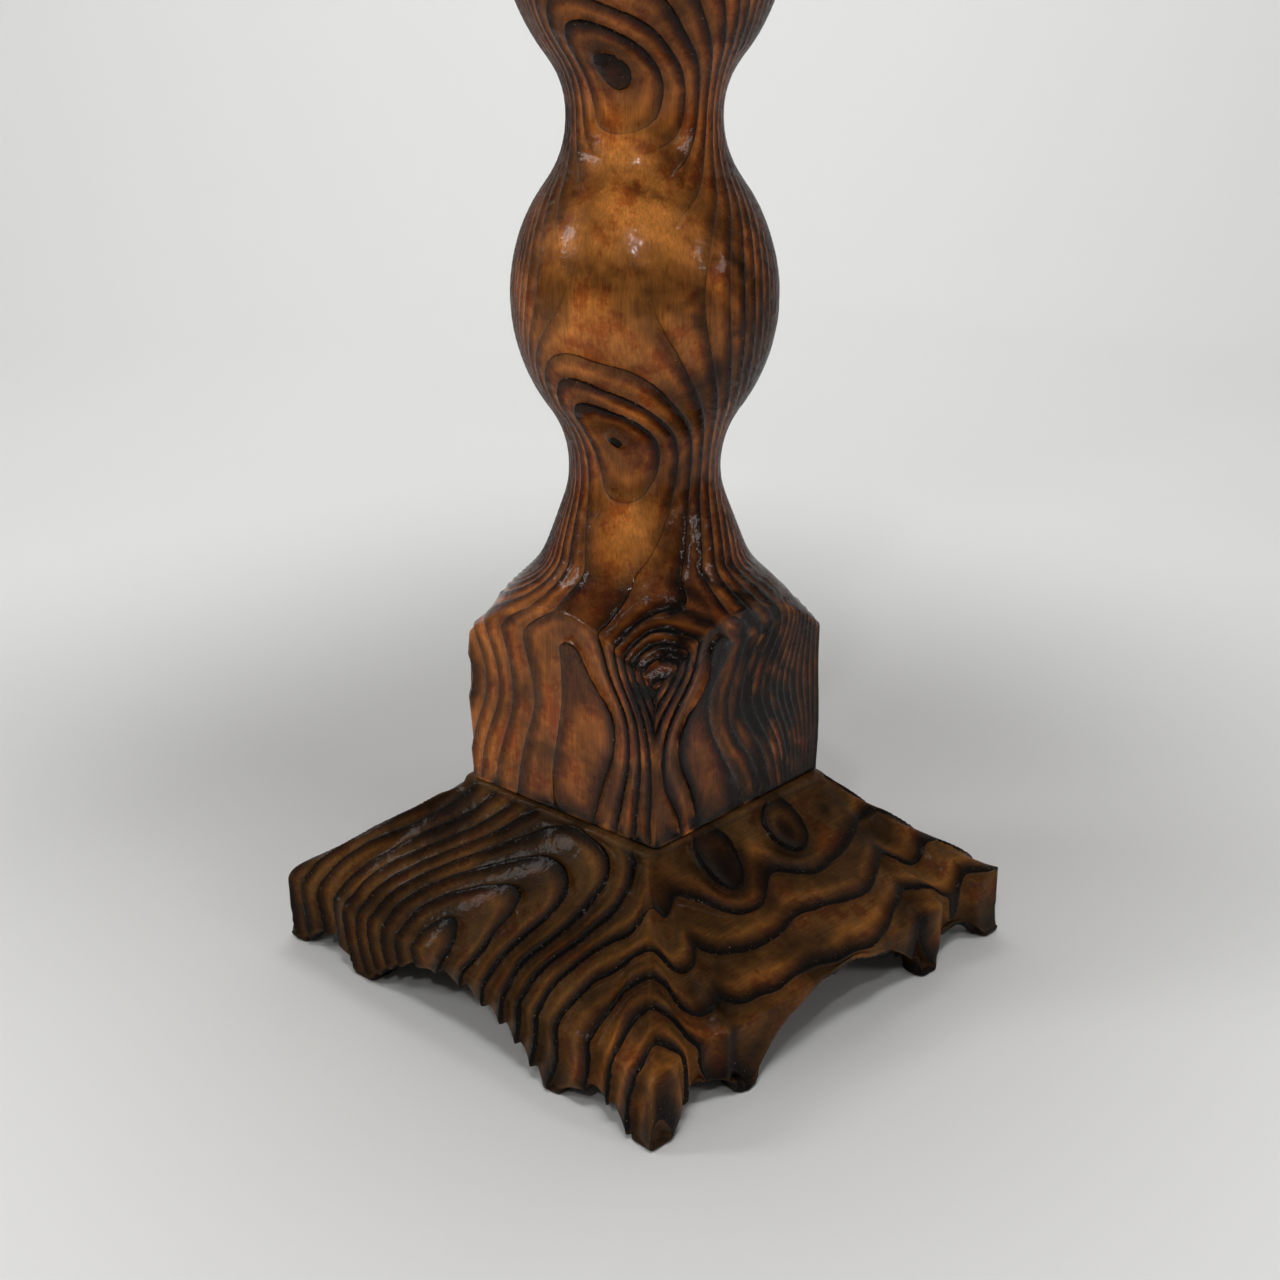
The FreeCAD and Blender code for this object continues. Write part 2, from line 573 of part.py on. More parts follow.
def main():
    os.makedirs("parts", exist_ok=True)
    wedges = [wedge_shape(-1), wedge_shape(1)]
    boards = make_boards()
    save("foot_plate", [make_foot()])
    save("foot_bolt", [make_foot_bolt()])
    save("foot_washer", [make_foot_washer()])
    save("pillar", [make_post(wedges)])
    save("tenon_wedges", wedges)
    save("tilt_block", [make_tilt_block()])
    save("keeper_plate", [make_keeper()])
    save("keeper_screws", [slotted_screw(place, V(0, 1, 0), SMALL_SCREW_LENGTH, SMALL_SCREW_RADIUS, SMALL_SCREW_HEAD)
                           for place in keeper_screw_places()])
    for name, board in zip(("top_board_front", "top_board_middle", "top_board_rear"), boards):
        save(name, [board])
    save("board_dowels", make_dowels())
    for name, side in (("left", -1), ("right", 1)):
        save("bearer_" + name, [make_bearer(side)])
        save("pivot_pin_" + name, [make_pin(side)])
    save("pivot_washers", [make_pivot_washer(side) for side in (-1, 1)])
    save("bearer_screws", [slotted_screw(place, UP, BEARER_SCREW_LENGTH, BEARER_SCREW_RADIUS, BEARER_SCREW_HEAD)
                           for place in bearer_screw_places()])
    save("catch_plate", [make_catch_plate()])
    save("catch_guides", make_guides())
    save("catch_screws", [slotted_screw(place, UP, SMALL_SCREW_LENGTH, SMALL_SCREW_RADIUS, SMALL_SCREW_HEAD)
                          for place in catch_screw_places()])
    save("catch_bolt", [make_catch_bolt()])
    save("catch_knob", [make_knob()])


main()
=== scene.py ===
import math

import bpy
import numpy as np
from mathutils import Matrix, Vector


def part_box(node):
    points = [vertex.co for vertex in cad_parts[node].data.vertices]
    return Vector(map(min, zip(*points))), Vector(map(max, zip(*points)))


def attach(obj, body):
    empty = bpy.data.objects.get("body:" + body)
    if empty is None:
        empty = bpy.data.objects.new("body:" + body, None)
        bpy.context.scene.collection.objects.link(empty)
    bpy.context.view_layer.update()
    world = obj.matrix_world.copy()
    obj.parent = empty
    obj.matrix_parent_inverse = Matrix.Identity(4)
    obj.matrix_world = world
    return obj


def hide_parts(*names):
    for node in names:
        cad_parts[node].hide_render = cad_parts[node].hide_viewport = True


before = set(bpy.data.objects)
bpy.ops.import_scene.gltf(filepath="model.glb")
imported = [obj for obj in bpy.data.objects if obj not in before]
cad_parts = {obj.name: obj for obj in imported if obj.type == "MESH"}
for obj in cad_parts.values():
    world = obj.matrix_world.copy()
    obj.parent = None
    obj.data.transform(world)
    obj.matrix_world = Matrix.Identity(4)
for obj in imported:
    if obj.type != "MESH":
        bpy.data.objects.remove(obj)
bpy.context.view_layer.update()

scene = bpy.context.scene
scene.view_settings.view_transform = "Standard"

# ---- Camera ---------------------------------------------------------------------------
# It stands a little above the table's middle and looks down at the foot and the lower
# part of the post, with a slightly long lens.

CAMERA_TURN = math.radians(41.9)     # from the front towards the right-hand side
CAMERA_AWAY = 0.7297                 # level distance from the post's axis
CAMERA_HEIGHT = 0.4146
CAMERA_DOWN = math.radians(19.746)
CAMERA_PAN = math.radians(0.188)
CAMERA_ROLL = math.radians(-0.114)
SENSOR = 36.0
LENS = 47.3

camera_data = bpy.data.cameras.new("camera")
camera_data.sensor_width = SENSOR
camera_data.lens = LENS
camera_data.clip_start = 0.02
camera_data.clip_end = 40.0
camera = bpy.data.objects.new("camera", camera_data)
scene.collection.objects.link(camera)
eye = Vector((math.sin(CAMERA_TURN) * CAMERA_AWAY, -math.cos(CAMERA_TURN) * CAMERA_AWAY, CAMERA_HEIGHT))
heading = CAMERA_TURN + CAMERA_PAN
turn = Matrix.Rotation(heading, 4, "Z")
tilt = Matrix.Rotation(math.pi / 2 - CAMERA_DOWN, 4, "X")
camera.matrix_world = Matrix.Translation(eye) @ turn @ tilt @ Matrix.Rotation(CAMERA_ROLL, 4, "Z")
scene.camera = camera


# ---- Studio ---------------------------------------------------------------------------
# A sheet of pale matt card lies on the floor and sweeps up in a half ring behind the table.
# Soft round lights hang overhead, at the front left and at the right, a small one puts the
# bright spots on the wax, and one more lights the card behind.

CARD = "#DCDCDA"
SWEEP_RADIUS = 3.4
SWEEP_HEIGHT = 3.2
SWEEP_CURVE = 1.6
SWEEP_OPEN = -0.4                    # the ring is open from here towards the camera
ROOM = "#E9EBEC"
ROOM_LIGHT = 0.15                    # what the room gives the table
ROOM_PALE = 0.55                     # how much paler it is seen


def colour(code):
    """Linear red, green, blue and alpha from an sRGB hex code."""
    parts = [int(code[place:place + 2], 16) / 255 for place in (1, 3, 5)]
    linear = [part / 12.92 if part <= 0.04045 else ((part + 0.055) / 1.055) ** 2.4 for part in parts]
    return linear + [1.0]


def add_node(tree, kind, links=(), **settings):
    """Adds one shader node: settings name its properties, or its inputs by their label."""
    node = tree.nodes.new(kind)
    for name, value in settings.items():
        if hasattr(node, name):
            setattr(node, name, value)
        else:
            node.inputs[name.replace("_", " ")].default_value = value
    for socket, source in links:
        tree.links.new(source, node.inputs[socket])
    return node


def new_material(name):
    """An empty material, with its shader and the tree to build in."""
    made = bpy.data.materials.new(name)
    made.use_nodes = True
    return made, made.node_tree, made.node_tree.nodes["Principled BSDF"]


card, tree, shader = new_material("matt_card")
shader.inputs["Base Color"].default_value = colour(CARD)
shader.inputs["Roughness"].default_value = 0.9
bpy.ops.object.select_all(action="DESELECT")
bpy.ops.mesh.primitive_cylinder_add(vertices=160, radius=SWEEP_RADIUS, depth=SWEEP_HEIGHT,
                                    end_fill_type="NGON", location=(0, 0, SWEEP_HEIGHT / 2))
floor = bpy.context.object
floor.name = "studio_floor"
bpy.ops.object.transform_apply(location=True, rotation=False, scale=False)
bpy.ops.object.mode_set(mode="EDIT")
bpy.ops.mesh.select_mode(type="FACE")
bpy.ops.mesh.select_all(action="DESELECT")
bpy.ops.object.mode_set(mode="OBJECT")
for face in floor.data.polygons:
    forward = face.center.x * math.sin(CAMERA_TURN) - face.center.y * math.cos(CAMERA_TURN)
    upright = abs(face.normal.z) < 0.1
    face.select = face.normal.z > 0.9 or (upright and forward > SWEEP_OPEN)
bpy.ops.object.mode_set(mode="EDIT")
bpy.ops.mesh.delete(type="FACE")
bpy.ops.mesh.select_all(action="SELECT")
bpy.ops.mesh.flip_normals()
bpy.ops.object.mode_set(mode="OBJECT")
curve = floor.modifiers.new("sweep", "BEVEL")
curve.width = SWEEP_CURVE
curve.segments = 16
curve.limit_method = "ANGLE"
curve.use_clamp_overlap = False
bpy.ops.object.modifier_apply(modifier="sweep")
bpy.ops.object.shade_smooth()
level = floor.modifiers.new("level", "WEIGHTED_NORMAL")
level.weight = 100
bpy.ops.object.modifier_apply(modifier="level")
floor.data.materials.append(card)


def area_light(name, place, aim, size, power):
    """A round soft light of size metres, turned towards aim."""
    lamp = bpy.data.lights.new(name, "AREA")
    lamp.shape = "DISK"
    lamp.size = size
    lamp.energy = power
    holder = bpy.data.objects.new(name, lamp)
    scene.collection.objects.link(holder)
    holder.location = place
    holder.rotation_euler = (Vector(aim) - Vector(place)).to_track_quat("-Z", "Y").to_euler()


area_light("overhead", (0.35, -0.35, 2.0), (0, 0, 0.2), size=0.85, power=24.5)
area_light("front_left", (-1.3, -1.5, 1.3), (0, 0, 0.25), size=0.6, power=11.0)
area_light("right_window", (1.7, 0.2, 1.0), (0, 0, 0.25), size=0.4, power=3.4)
area_light("glint", (0.8, -1.35, 1.45), (0, 0, 0.3), size=0.1, power=4.4)
area_light("wall_wash", (-1.0, 1.1, 2.6), (-2.4, 2.6, 0.7), size=1.6, power=46.0)
world = bpy.data.worlds.new("room")
world.use_nodes = True
# The room is seen pale, but gives little light, so that shadows stay deep
room = world.node_tree
seen = add_node(room, "ShaderNodeLightPath").outputs["Is Camera Ray"]
strength = add_node(room, "ShaderNodeMath", [(0, seen)], operation="MULTIPLY_ADD")
strength.inputs[1].default_value = ROOM_PALE
strength.inputs[2].default_value = ROOM_LIGHT
room.nodes["Background"].inputs["Color"].default_value = colour(ROOM)
room.links.new(strength.outputs[0], room.nodes["Background"].inputs["Strength"])
scene.world = world


# ---- Foot -----------------------------------------------------------------------------
# The foot is one thick block of cedar, sawn and gouged to shape, scorched black and then
# brushed with wire, which wears the soft spring wood away and leaves each year's hard
# summer wood standing as a terrace with a dark lip. Wax gives it a low shine.

FOOT_TURN = math.radians(-2.36)
HEART_UP = 33.0                     # height of the foot's heart, which runs front to back
KNOTS = ((75.3, -26.1, 73.3, 15.0, 11.0), (73.5, 19.0, 74.7, 13.0, 12.0))  # x, y, z, half sizes
GROOVES = ((-64.0, 0.75, 5.2), (63.0, 0.7, 4.6), (102.0, 0.3, 1.8))        # y, pull on rings, depth
SLOPE = (66.0, 92.0)                # from where to where the right-hand slope's grooves deepen
SEAT = round(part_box("foot_plate")[1][2] * 1000, 3)     # height of the flat under the post
LIP_WIDTH = 1.2                     # millimetres over which a terrace drops


def eased(low, high, value):
    """0 below low, 1 above high, and a smooth step between."""
    share = np.clip((value - low) / (high - low), 0, 1)
    return share * share * (3 - 2 * share)


def drift(points, length, seed, layers=3):
    """Slow wandering values around 0 over points, with waves about length long."""
    dice = np.random.default_rng(seed)
    total = np.zeros(len(points))
    strength = 1.0
    for layer in range(layers):
        for wave in range(5):
            way = dice.normal(size=3)
            way /= np.linalg.norm(way)
            start = dice.uniform(0, 2 * math.pi)
            pitch = 2 * math.pi * dice.uniform(0.7, 1.4) / length
            total += strength * np.sin(points @ (way * pitch) + start) / math.sqrt(5)
        strength *= 0.5
        length *= 0.5
    return total


def years(distance, growth):
    """Rings counted outwards from the heart, where growth pairs a distance with a ring's width there."""
    steps = np.linspace(0, 320, 1200)
    thin = 1 / np.interp(steps, [pair[0] for pair in growth], [pair[1] for pair in growth])
    count = np.concatenate([[0], np.cumsum((thin[1:] + thin[:-1]) / 2 * np.diff(steps))])
    return np.interp(distance, steps, count)


def wood_copy(node, name, grid, rounding):
    """A fine even mesh of a CAD node's shape, with its edges rubbed round by rounding passes."""
    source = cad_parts[node]
    piece = bpy.data.objects.new(name, source.data.copy())
    scene.collection.objects.link(piece)
    bpy.ops.object.select_all(action="DESELECT")
    bpy.context.view_layer.objects.active = piece
    piece.select_set(True)
    piece.data.materials.clear()
    bpy.ops.object.mode_set(mode="EDIT")
    bpy.ops.mesh.select_all(action="SELECT")
    bpy.ops.mesh.remove_doubles(threshold=0.00002)
    bpy.ops.object.mode_set(mode="OBJECT")
    remesh = piece.modifiers.new("grid", "REMESH")
    remesh.mode = "VOXEL"
    remesh.voxel_size = grid / 1000
    bpy.ops.object.modifier_apply(modifier="grid")
    ease = piece.modifiers.new("ease", "SMOOTH")
    ease.factor = 0.5
    ease.iterations = rounding
    bpy.ops.object.modifier_apply(modifier="ease")
    bpy.ops.object.shade_smooth()
    return piece


def read_points(mesh):
    """Points in millimetres and unit normals of a mesh."""
    points = np.empty(len(mesh.vertices) * 3)
    mesh.vertices.foreach_get("co", points)
    normals = np.empty(len(mesh.vertices) * 3)
    mesh.vertex_normals.foreach_get("vector", normals)
    return points.reshape(-1, 3) * 1000, normals.reshape(-1, 3)


def keep_values(mesh, name, values):
    layer = mesh.attributes.new(name, "FLOAT", "POINT")
    layer.data.foreach_set("value", np.ascontiguousarray(values, dtype=np.float32))


def convexity(mesh, points, normals, passes):
    """How far each point stands out from the smoothed surface, in millimetres."""
    edges = np.empty(len(mesh.edges) * 2, dtype=np.int64)
    mesh.edges.foreach_get("vertices", edges)
    edges = edges.reshape(-1, 2)
    count = np.bincount(edges.ravel(), minlength=len(points))[:, None]
    flat = points.copy()
    for step in range(passes):
        total = np.zeros_like(flat)
        for axis in range(3):
            total[:, axis] = (np.bincount(edges[:, 0], flat[edges[:, 1], axis], len(points))
                              + np.bincount(edges[:, 1], flat[edges[:, 0], axis], len(points)))
        flat = total / np.maximum(count, 1)
    return np.einsum("ij,ij->i", points - flat, normals)


def brush(piece, rings, depth, carve, bare, char_and_shade, budget):
    """Wears the soft wood of each ring down, after carve has shifted the surface in or out.

    rings, carve, bare and the darkening are functions of points in millimetres; bare is where the
    surface is kept whole and smooth, the darkening where it is burnt black, and where the post stands on the
    foot and down the post's right side painted shade.
    """
    mesh = piece.data
    points, normals = read_points(mesh)
    aside = np.cross(normals, (0.3, 0.5, 0.81))
    aside /= np.maximum(np.linalg.norm(aside, axis=1), 0.001)[:, None]
    along = np.cross(normals, aside)
    count = rings(points)
    steep = np.hypot(rings(points + aside * 0.5) - count, rings(points + along * 0.5) - count) / 0.5
    width = np.clip(1 / np.maximum(steep, 0.01), 2, 24)
    share = count - np.floor(count)
    lip = np.clip(1 - LIP_WIDTH / width, 0.55, 0.96)
    rise = np.where(share < lip, (share / lip) ** 1.5, 1 - eased(lip, 1.0, share))
    smooth_wood = bare(points)
    worn = depth * np.clip(width / 9, 0.4, 1) * (1 - smooth_wood)
    stands = convexity(mesh, points, normals, 10)
    moved = points + normals * ((rise - 1) * worn + carve(points))[:, None]
    mesh.vertices.foreach_set("co", (moved / 1000).ravel())
    mesh.update()
    keep_values(mesh, "rings", count)
    keep_values(mesh, "ring_width", width)
    keep_values(mesh, "bare", smooth_wood)
    keep_values(mesh, "char_and_shade", char_and_shade(points))
    keep_values(mesh, "stands", stands)
    triangles = sum(len(face.vertices) - 2 for face in mesh.polygons)
    if triangles > budget:
        thin = piece.modifiers.new("thin", "DECIMATE")
        thin.ratio = budget / triangles
        bpy.ops.object.modifier_apply(modifier="thin")


def foot_axes(points):
    """Points along and across the foot's own sides, which are turned under the post."""
    along_x = points[:, 0] * math.cos(FOOT_TURN) + points[:, 1] * math.sin(FOOT_TURN)
    along_y = points[:, 1] * math.cos(FOOT_TURN) - points[:, 0] * math.sin(FOOT_TURN)
    return along_x, along_y, points[:, 2]


def around_knot(points, knot, spread):
    """1 at a knot in the foot, falling to 0 over spread times its own half sizes."""
    x, y, z = foot_axes(points)
    reach = ((x - knot[0]) / knot[3]) ** 2 + ((y - knot[1]) / knot[4]) ** 2 + ((z - knot[2]) / 26) ** 2
    return np.exp(-reach / spread ** 2)


def groove(points, place):
    """1 along the bottom of a groove that runs out to the right-hand edge at y = place."""
    x, y, z = foot_axes(points)
    off = y - place + 0.25 * (x - 100)
    return eased(*SLOPE, x) * np.exp(-np.sqrt(off ** 2 + 2) / 11)


def foot_rings(points):
    x, y, z = foot_axes(points)
    off = x - (34 * eased(-116, -66, y) - 17)
    off = np.where(off < 0, off * 1.25, off)
    count = years(np.hypot(off, z - HEART_UP), ((0, 15), (34, 13), (60, 10.5), (90, 14)))
    count += 0.13 * drift(points, 80, 11, 3)
    for knot in KNOTS:
        count -= 1.25 * around_knot(points, knot, 1.2)
    for place, pull, depth in GROOVES:
        count += pull * (groove(points, place) - 0.1 * eased(*SLOPE, x))
    return count


def foot_carve(points):
    """Grooves run down the right-hand slope, and all of it is a little uneven."""
    z = points[:, 2]
    shift = -0.45 * (1 + drift(points, 60, 21, 2))
    for place, pull, depth in GROOVES:
        shift -= depth * groove(points, place)
    return shift * eased(0.5, 6, z) * (1 - eased(SEAT - 4, SEAT - 1, z))


def foot_bare(points):
    """The seat under the post and the floor pads stay whole."""
    return np.maximum(eased(SEAT - 1.4, SEAT - 0.2, points[:, 2]), 1 - eased(0.3, 1.5, points[:, 2]))


def foot_char_and_shade(points):
    """Burnt at the knots and in the grooves, and darker underneath; painted shadow on the seat where the
    post stands;
    rubbed paler on the right-hand slope and most of all at the front corner."""
    x, y, z = foot_axes(points)
    darkened = 0.6 * (1 - eased(1, 4, z))
    for knot in KNOTS:
        darkened += 0.95 * around_knot(points, knot, 0.75)
    for place, pull, depth in GROOVES[:2]:
        darkened += 0.7 * groove(points, place) ** 2
    seat = eased(SEAT - 2.5, SEAT - 0.5, z)
    under = 1 - eased(4, 22, z)
    pale = 0.5 * eased(62, 84, x) * (0.8 + 0.45 * drift(points, 50, 9, 3))
    pale += 1.1 * eased(92, 114, (x - y) / 2) * (0.85 + 0.3 * drift(points, 30, 19, 3))
    pale *= (1 - seat) * (1 - under)
    # Painted shadow: the seat where the post stands is darkened
    return np.clip(darkened + 0.75 * seat + 0.3 * under - pale * (1 - np.clip(darkened, 0, 1)), -1, 1)


def cedar(name, grain, tones, worn, pitting, glossy, wax, planed=0.0):
    """Scorched, brushed and waxed cedar. grain stretches its fibres along one axis; tones are
    the colours of the lip, summer wood, turning wood, spring wood and low spring wood; worn is
    bare wood's colour; glossy is how rough the varnish is where thin and where thick, wax how
    much of a polished layer lies on it, and planed how clean the flat sides are."""
    made, tree, shader = new_material(name)
    place = add_node(tree, "ShaderNodeTexCoord").outputs["Object"]
    rings, width, bare, char_and_shade, stands = [
        add_node(tree, "ShaderNodeAttribute", attribute_name=label).outputs["Fac"]
        for label in ("rings", "ring_width", "bare", "char_and_shade", "stands")]

    # Fibres: streaks 0.5 mm wide that follow the grain
    stretch = add_node(tree, "ShaderNodeMapping", [("Vector", place)], Scale=grain)
    fibre = add_node(tree, "ShaderNodeTexNoise", [("Vector", stretch.outputs["Vector"])],
                     Scale=1100.0, Detail=4.0, Roughness=0.65).outputs["Fac"]
    # Slow changes of stain and wax, 40 mm across, and patches 15 mm across
    cloud = add_node(tree, "ShaderNodeTexNoise", [("Vector", place)],
                     Scale=24.0, Detail=5.0, Roughness=0.6).outputs["Fac"]
    patch = add_node(tree, "ShaderNodeTexNoise", [("Vector", place)],
                     Scale=65.0, Detail=7.0, Roughness=0.7).outputs["Fac"]
    # Open pits and dust in them, 0.6 mm across
    pits = add_node(tree, "ShaderNodeTexNoise", [("Vector", place)],
                    Scale=1300.0, Detail=2.0, Roughness=0.5).outputs["Fac"]

    # Where in its year each point lies, ruffled a little by the patches
    ruffle = add_node(tree, "ShaderNodeMath", [(0, patch), (2, rings)], operation="MULTIPLY_ADD")
    ruffle.inputs[1].default_value = 0.09
    season = add_node(tree, "ShaderNodeMath", [(0, ruffle.outputs[0])], operation="FRACT").outputs[0]
    left = add_node(tree, "ShaderNodeMath", [(1, season)], operation="SUBTRACT")
    left.inputs[0].default_value = 1.0
    gap = add_node(tree, "ShaderNodeMath", [(0, left.outputs[0]), (1, width)],
                   operation="MULTIPLY").outputs[0]
    # The dark summer wood is some 3 mm wide in a wide year, and most of a narrow one
    reach = add_node(tree, "ShaderNodeMath", [(0, width)], operation="MULTIPLY_ADD")
    reach.inputs[1].default_value = 0.42
    reach.inputs[2].default_value = 4.0
    share = add_node(tree, "ShaderNodeMath", [(0, gap), (1, reach.outputs[0])], operation="DIVIDE")
    wood = add_node(tree, "ShaderNodeValToRGB", [("Fac", share.outputs[0])])
    stops = list(zip((0.04, 0.2, 0.42, 0.7, 1.0), tones))
    while len(wood.color_ramp.elements) < len(stops):
        wood.color_ramp.elements.new(0.5)
    for element, (stop, code) in zip(wood.color_ramp.elements, stops):
        element.position = stop
        element.color = colour(code)
    wood = wood.outputs["Color"]

    # Bare wood shows less of its years
    plain = add_node(tree, "ShaderNodeMix", [(0, bare), (6, wood)], data_type="RGBA")
    plain.inputs[7].default_value = colour(worn)
    # Grey-olive patches of old stain
    olive = add_node(tree, "ShaderNodeMapRange", [("Value", cloud)])
    olive.inputs["From Min"].default_value = 0.44
    olive.inputs["From Max"].default_value = 0.68
    olive.inputs["To Max"].default_value = 0.5
    stain = add_node(tree, "ShaderNodeMix", [(0, olive.outputs[0]), (6, plain.outputs[2])],
                     data_type="RGBA", blend_type="MULTIPLY")
    stain.inputs[7].default_value = colour("#A08E68")
    # Red-brown patches where the varnish lies thick
    red = add_node(tree, "ShaderNodeMapRange", [("Value", patch)])
    red.inputs["From Min"].default_value = 0.5
    red.inputs["From Max"].default_value = 0.6
    red.inputs["To Max"].default_value = 0.6
    varnish = add_node(tree, "ShaderNodeMix", [(0, red.outputs[0]), (6, stain.outputs[2])],
                       data_type="RGBA", blend_type="MULTIPLY")
    varnish.inputs[7].default_value = colour("#B46C4C")
    # Fibres darken and lighten the colour
    streak = add_node(tree, "ShaderNodeMapRange", [("Value", fibre)])
    streak.inputs["From Min"].default_value = 0.25
    streak.inputs["From Max"].default_value = 0.75
    streak.inputs["To Min"].default_value = 0.62
    streak.inputs["To Max"].default_value = 1.3
    fibred = add_node(tree, "ShaderNodeVectorMath", [(0, varnish.outputs[2]), (1, streak.outputs[0])],
                      operation="MULTIPLY")
    # Scorching that was brushed back unevenly, in areas 30 mm across
    scorch = add_node(tree, "ShaderNodeTexNoise", [("Vector", place)],
                      Scale=33.0, Detail=3.0, Roughness=0.55).outputs["Fac"]
    shade = add_node(tree, "ShaderNodeMapRange", [("Value", scorch)])
    shade.inputs["From Min"].default_value = 0.38
    shade.inputs["From Max"].default_value = 0.6
    shade.inputs["To Min"].default_value = 0.38
    shade.inputs["To Max"].default_value = 1.35
    shaded = add_node(tree, "ShaderNodeVectorMath", [(0, fibred.outputs[0]), (1, shade.outputs[0])],
                      operation="MULTIPLY")
    # A planed side shows clean wood with its fibres, and little of stain and scorching
    clean = add_node(tree, "ShaderNodeVectorMath", [(0, streak.outputs[0])], operation="MULTIPLY")
    clean.inputs[1].default_value = colour(worn)[:3]
    flat = add_node(tree, "ShaderNodeMath", [(0, bare)], operation="MULTIPLY")
    flat.inputs[1].default_value = planed
    side = add_node(tree, "ShaderNodeMix", [(0, flat.outputs[0]), (6, shaded.outputs[0]),
                                            (7, clean.outputs[0])], data_type="RGBA")
    # Below 0 the attribute of burning and shade stands for wood rubbed paler and warmer, above 0 for wood
    # burnt black, and at the post's seat and right side also for painted shade
    paler = add_node(tree, "ShaderNodeMapRange", [("Value", char_and_shade)])
    paler.inputs["From Min"].default_value = 0.0
    paler.inputs["From Max"].default_value = -1.0
    warm = add_node(tree, "ShaderNodeVectorMath", [(0, side.outputs[2])], operation="MULTIPLY")
    warm.inputs[1].default_value = (2.5, 2.1, 1.7)
    rubbed_down = add_node(tree, "ShaderNodeMix", [(0, paler.outputs[0]), (6, side.outputs[2]),
                                                   (7, warm.outputs[0])], data_type="RGBA")
    black = add_node(tree, "ShaderNodeMix", [(0, char_and_shade), (6, rubbed_down.outputs[2])], data_type="RGBA")
    black.inputs[7].default_value = colour("#130D09")
    # Rubbed edges show lighter wood
    rub = add_node(tree, "ShaderNodeMapRange", [("Value", stands)])
    rub.inputs["From Min"].default_value = 0.15
    rub.inputs["From Max"].default_value = 0.8
    not_darkened = add_node(tree, "ShaderNodeMapRange", [("Value", char_and_shade)])
    not_darkened.inputs["To Min"].default_value = 1.0
    not_darkened.inputs["To Max"].default_value = 0.0
    spared = add_node(tree, "ShaderNodeMath", [(0, rub.outputs[0]), (1, not_darkened.outputs[0])],
                      operation="MULTIPLY")
    rubbed = add_node(tree, "ShaderNodeMath", [(0, spared.outputs[0]), (1, patch)], operation="MULTIPLY")
    edge = add_node(tree, "ShaderNodeMix", [(0, rubbed.outputs[0]), (6, black.outputs[2])], data_type="RGBA")
    edge.inputs[7].default_value = colour(worn)
    # The crease at the foot of each terrace, 0.5 mm wide, is painted near black: partly dirt caught in it,
    # partly painted shadow on the step and in the crease
    crease_shadow = add_node(tree, "ShaderNodeMapRange", [("Value", gap)])
    crease_shadow.inputs["From Min"].default_value = 0.35
    crease_shadow.inputs["From Max"].default_value = 0.9
    crease_shadow.inputs["To Min"].default_value = 0.85
    crease_shadow.inputs["To Max"].default_value = 0.0
    kept = add_node(tree, "ShaderNodeMath", [(1, bare)], operation="SUBTRACT")
    kept.inputs[0].default_value = 1.0
    crease_shadow_line = add_node(tree, "ShaderNodeMath", [(0, crease_shadow.outputs[0]), (1, kept.outputs[0])],
                    operation="MULTIPLY")
    # Painted crease shadow: the line is mixed towards near black
    crease_shadowed = add_node(tree, "ShaderNodeMix", [(0, crease_shadow_line.outputs[0]), (6, edge.outputs[2])], data_type="RGBA")
    crease_shadowed.inputs[7].default_value = colour("#080504")
    # Pale dust caught in the pits of the dark wood
    hard = add_node(tree, "ShaderNodeMapRange", [("Value", share.outputs[0])])
    hard.inputs["From Min"].default_value = 0.55
    hard.inputs["From Max"].default_value = 0.1
    mote = add_node(tree, "ShaderNodeMapRange", [("Value", pits)])
    mote.inputs["From Min"].default_value = 0.7
    mote.inputs["From Max"].default_value = 0.76
    dust = add_node(tree, "ShaderNodeMath", [(0, mote.outputs[0]), (1, hard.outputs[0])],
                    operation="MULTIPLY")
    dusty = add_node(tree, "ShaderNodeMix", [(0, dust.outputs[0]), (6, crease_shadowed.outputs[2])], data_type="RGBA")
    dusty.inputs[7].default_value = colour("#A48A6C")
    tree.links.new(dusty.outputs[2], shader.inputs["Base Color"])

    # Relief too fine for the mesh: pits in the hard wood, and fibres
    pitted = add_node(tree, "ShaderNodeMath", [(0, pits), (1, hard.outputs[0])], operation="MULTIPLY")
    pit_bump = add_node(tree, "ShaderNodeBump", [("Height", pitted.outputs[0])],
                        Strength=pitting, Distance=0.0004)
    step_bump = add_node(tree, "ShaderNodeBump",
                         [("Height", crease_shadow_line.outputs[0]), ("Normal", pit_bump.outputs[0])],
                         Strength=0.5, Distance=0.0003, invert=True)
    fine_bump = add_node(tree, "ShaderNodeBump", [("Height", fibre), ("Normal", step_bump.outputs[0])],
                         Strength=0.22, Distance=0.0003)
    # Varnish lies in low ripples 6 mm across
    ripple = add_node(tree, "ShaderNodeTexNoise", [("Vector", place)],
                      Scale=170.0, Detail=3.0, Roughness=0.5).outputs["Fac"]
    varnish_bump = add_node(tree, "ShaderNodeBump", [("Height", ripple), ("Normal", fine_bump.outputs[0])],
                            Strength=0.45, Distance=0.0009)
    tree.links.new(varnish_bump.outputs[0], shader.inputs["Normal"])
